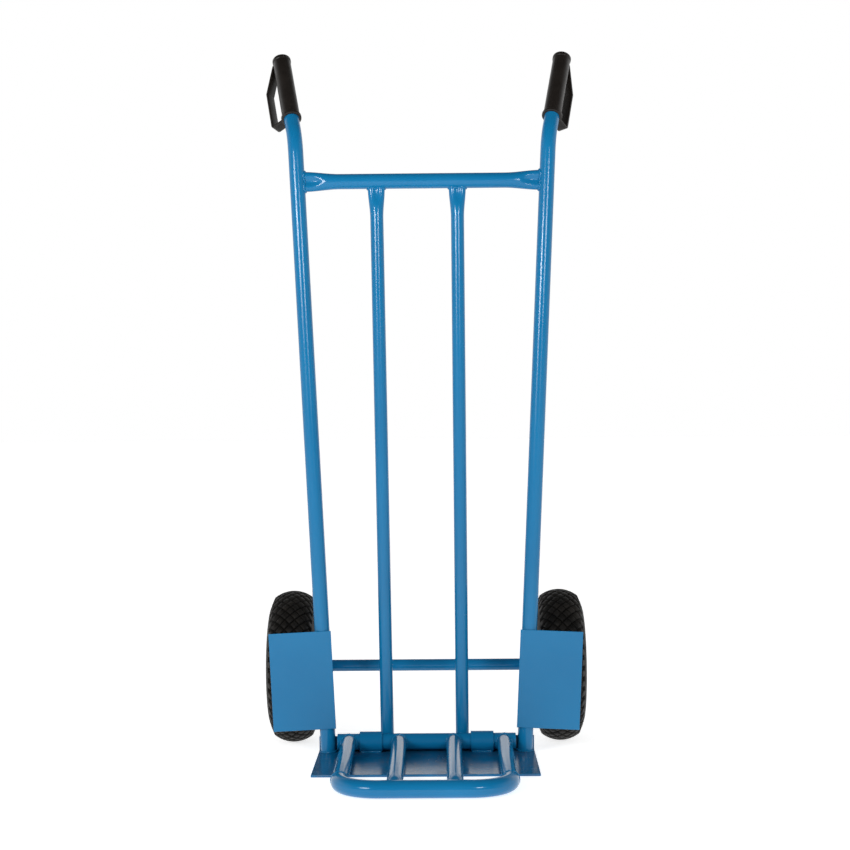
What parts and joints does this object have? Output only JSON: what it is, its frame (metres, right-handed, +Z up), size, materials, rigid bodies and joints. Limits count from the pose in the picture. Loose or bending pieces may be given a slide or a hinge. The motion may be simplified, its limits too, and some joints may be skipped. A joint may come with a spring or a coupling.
{
  "type": "hand truck",
  "caption": "Upright sack truck with a flared tubular steel frame, two pneumatic wheels, a small fixed toe plate and a folding tubular toe.",
  "frame": {"origin": "on the floor under the toe plate, midway between the uprights and level with their centre line", "axes": "+X to the right seen from the toe side, +Y backwards to the wheels and handles, +Z up"},
  "size_m": [0.542, 0.6224, 1.1872],
  "materials": {
    "blue_paint": "gloss powder coat over steel",
    "zinc_steel": "bright zinc plate",
    "hub_steel": "plain turned steel with a film of grease",
    "rim_paint": "silver paint over pressed steel",
    "grip_plastic": "satin moulded",
    "tyre_rubber": "matt moulded rubber with a diamond tread",
    "tube_rubber": "smooth butyl rubber",
    "valve_rubber": "smooth rubber with a plastic cap"
  },
  "bodies": {
    "frame": {"left_upright": "blue_paint", "right_upright": "blue_paint", "top_crossbar": "blue_paint", "left_inner_bar": "blue_paint", "right_inner_bar": "blue_paint", "toe_plate": "blue_paint", "left_hinge_sleeve": "blue_paint", "right_hinge_sleeve": "blue_paint", "left_wheel_guard": "blue_paint", "right_wheel_guard": "blue_paint", "left_axle_bracket": "blue_paint", "right_axle_bracket": "blue_paint", "axle": "blue_paint", "axle_spacers": "zinc_steel", "axle_washers": "zinc_steel", "split_pins": "zinc_steel", "left_grip": "grip_plastic", "right_grip": "grip_plastic"},
    "toe": {"hinge_pipe": "blue_paint", "toe_front_tube": "blue_paint", "left_outer_finger": "blue_paint", "left_inner_finger": "blue_paint", "right_inner_finger": "blue_paint", "right_outer_finger": "blue_paint"},
    "left_wheel": {"left_tyre": "tyre_rubber", "left_inner_tube": "tube_rubber", "left_rim_outer": "rim_paint", "left_rim_inner": "rim_paint", "left_hub": "hub_steel", "left_bearings": "hub_steel", "left_rim_bolts": "zinc_steel", "left_rim_nuts": "zinc_steel", "left_valve": "valve_rubber"},
    "right_wheel": {"right_tyre": "tyre_rubber", "right_inner_tube": "tube_rubber", "right_rim_outer": "rim_paint", "right_rim_inner": "rim_paint", "right_hub": "hub_steel", "right_bearings": "hub_steel", "right_rim_bolts": "zinc_steel", "right_rim_nuts": "zinc_steel", "right_valve": "valve_rubber"}
  },
  "joints": [
    {"name": "toe_fold", "type": "hinge", "parent": "frame", "child": "toe", "pos_m": [0, -0.004, 0.02085], "axis": [-1, 0, 0], "range_deg": [0, 90]},
    {"name": "left_wheel_spin", "type": "hinge", "parent": "frame", "child": "left_wheel", "pos_m": [-0.23, 0.125, 0.13], "axis": [1, 0, 0], "continuous": true},
    {"name": "right_wheel_spin", "type": "hinge", "parent": "frame", "child": "right_wheel", "pos_m": [0.23, 0.125, 0.13], "axis": [1, 0, 0], "continuous": true}
  ]
}
